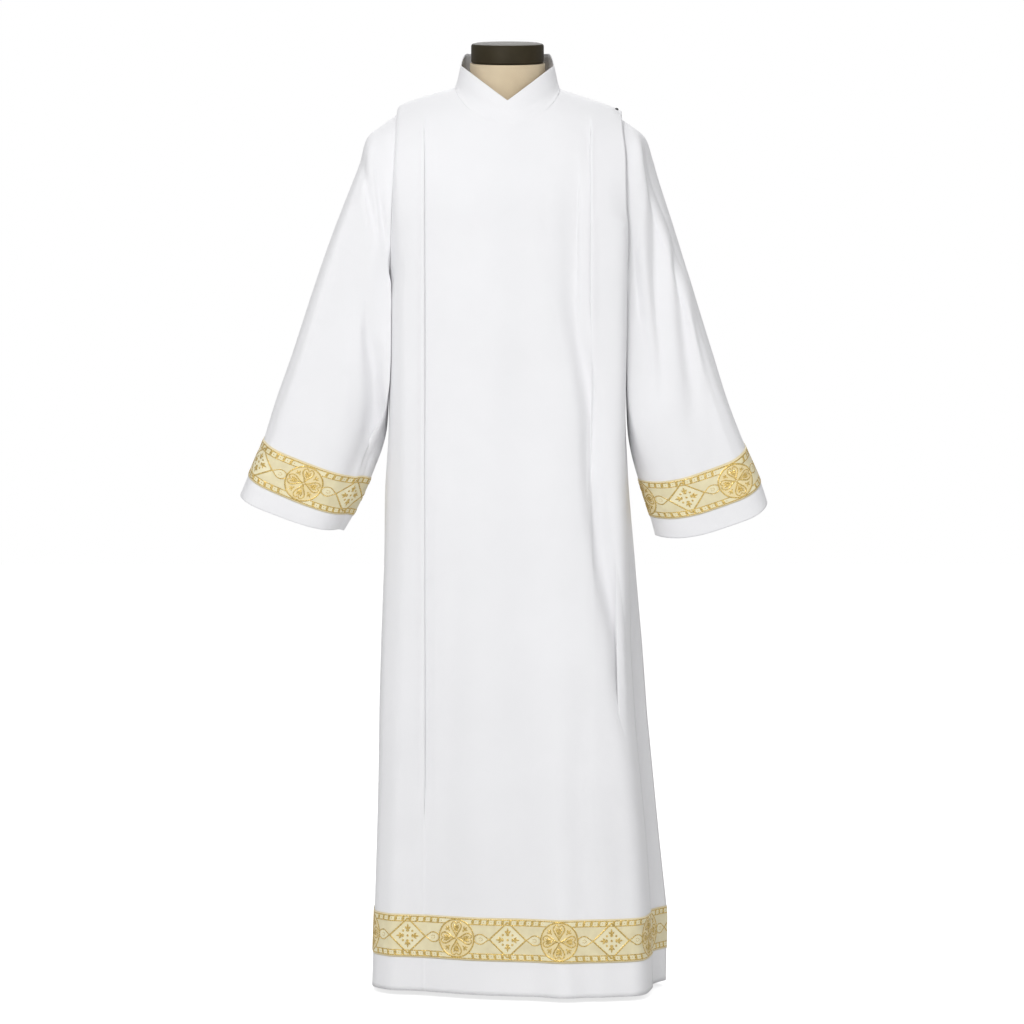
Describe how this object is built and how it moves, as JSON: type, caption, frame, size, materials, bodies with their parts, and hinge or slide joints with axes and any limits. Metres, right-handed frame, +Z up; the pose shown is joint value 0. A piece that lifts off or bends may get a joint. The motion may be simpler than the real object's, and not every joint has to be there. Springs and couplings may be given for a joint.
{
  "type": "alb robe on a dress form",
  "caption": "Full-length white alb robe with a front wrap, standing collar, wide sleeves and galloon bands at hem and cuffs, worn by a limbless linen dress form on a round-based stand.",
  "frame": {"origin": "centre of the stand's base, on the floor under the pole", "axes": "+Z up along the pole, -Y is the robe's front, +X is to the right of someone who faces the front"},
  "size_m": [0.8342, 0.3757, 1.5017],
  "materials": {
    "alb_cloth": "fine plain weave, soft sheen",
    "galloon": "woven champagne satin ground with raised gold lurex",
    "form_linen": "stretched linen, matte",
    "form_cap_lacquer": "dark lacquer, semi-gloss",
    "stand_enamel": "white enamel",
    "snap_metal": "dark lacquered snap head"
  },
  "bodies": {
    "root": {"wrap_front": "alb_cloth", "under_front": "alb_cloth", "back": "alb_cloth", "sleeve_left": "alb_cloth", "sleeve_right": "alb_cloth", "collar": "alb_cloth", "hem_band_wrap": "galloon", "hem_band_under": "galloon", "hem_band_back": "galloon", "cuff_band_left": "galloon", "cuff_band_right": "galloon", "shoulder_snap": "snap_metal", "form_body": "form_linen", "form_cap": "form_cap_lacquer", "stand_pole": "stand_enamel", "stand_base": "stand_enamel"}
  },
  "joints": []
}
